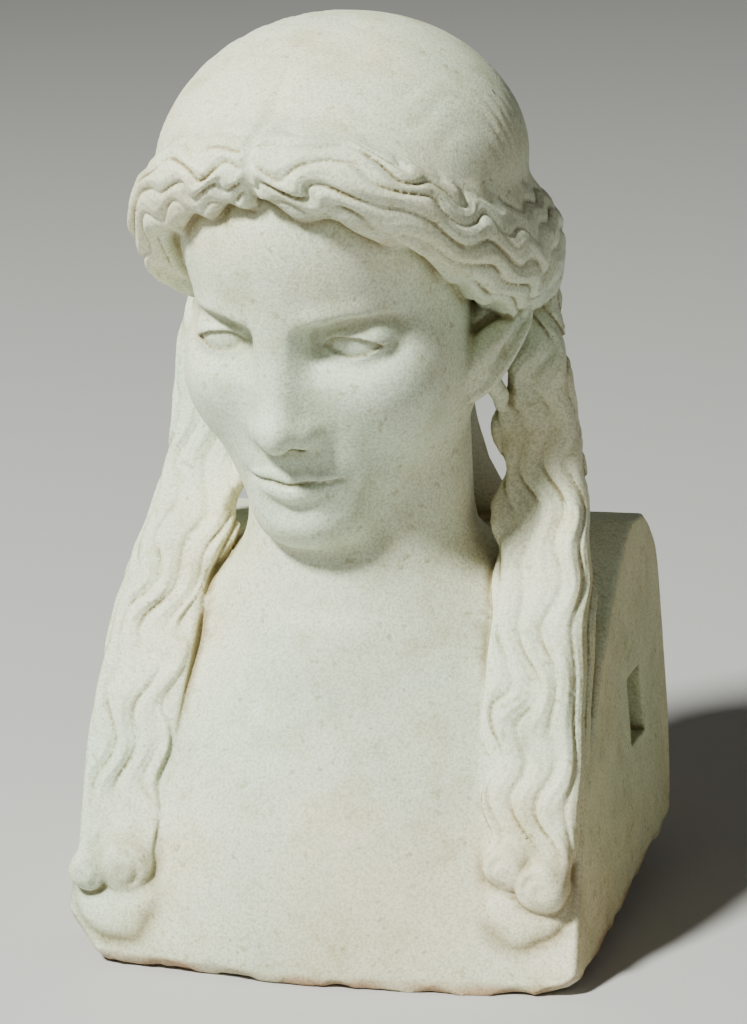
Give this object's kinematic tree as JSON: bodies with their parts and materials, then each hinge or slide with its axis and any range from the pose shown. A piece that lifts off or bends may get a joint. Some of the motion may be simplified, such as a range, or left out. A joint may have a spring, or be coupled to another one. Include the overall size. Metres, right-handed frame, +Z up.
{
  "type": "marble herm",
  "caption": "Carved stone herm: a youth's head with wavy parted hair and long side tresses on a squared chest block with a socket in each side.",
  "frame": {"origin": "on the underside, below the middle of the block's width and depth", "axes": "+Z up through the crown, -Y the way the chest faces, +X to the viewer's right"},
  "size_m": [0.2449, 0.2193, 0.4174],
  "materials": {
    "marble": "honed, weathered"
  },
  "bodies": {
    "root": {"marble_herm": "marble"}
  },
  "joints": []
}
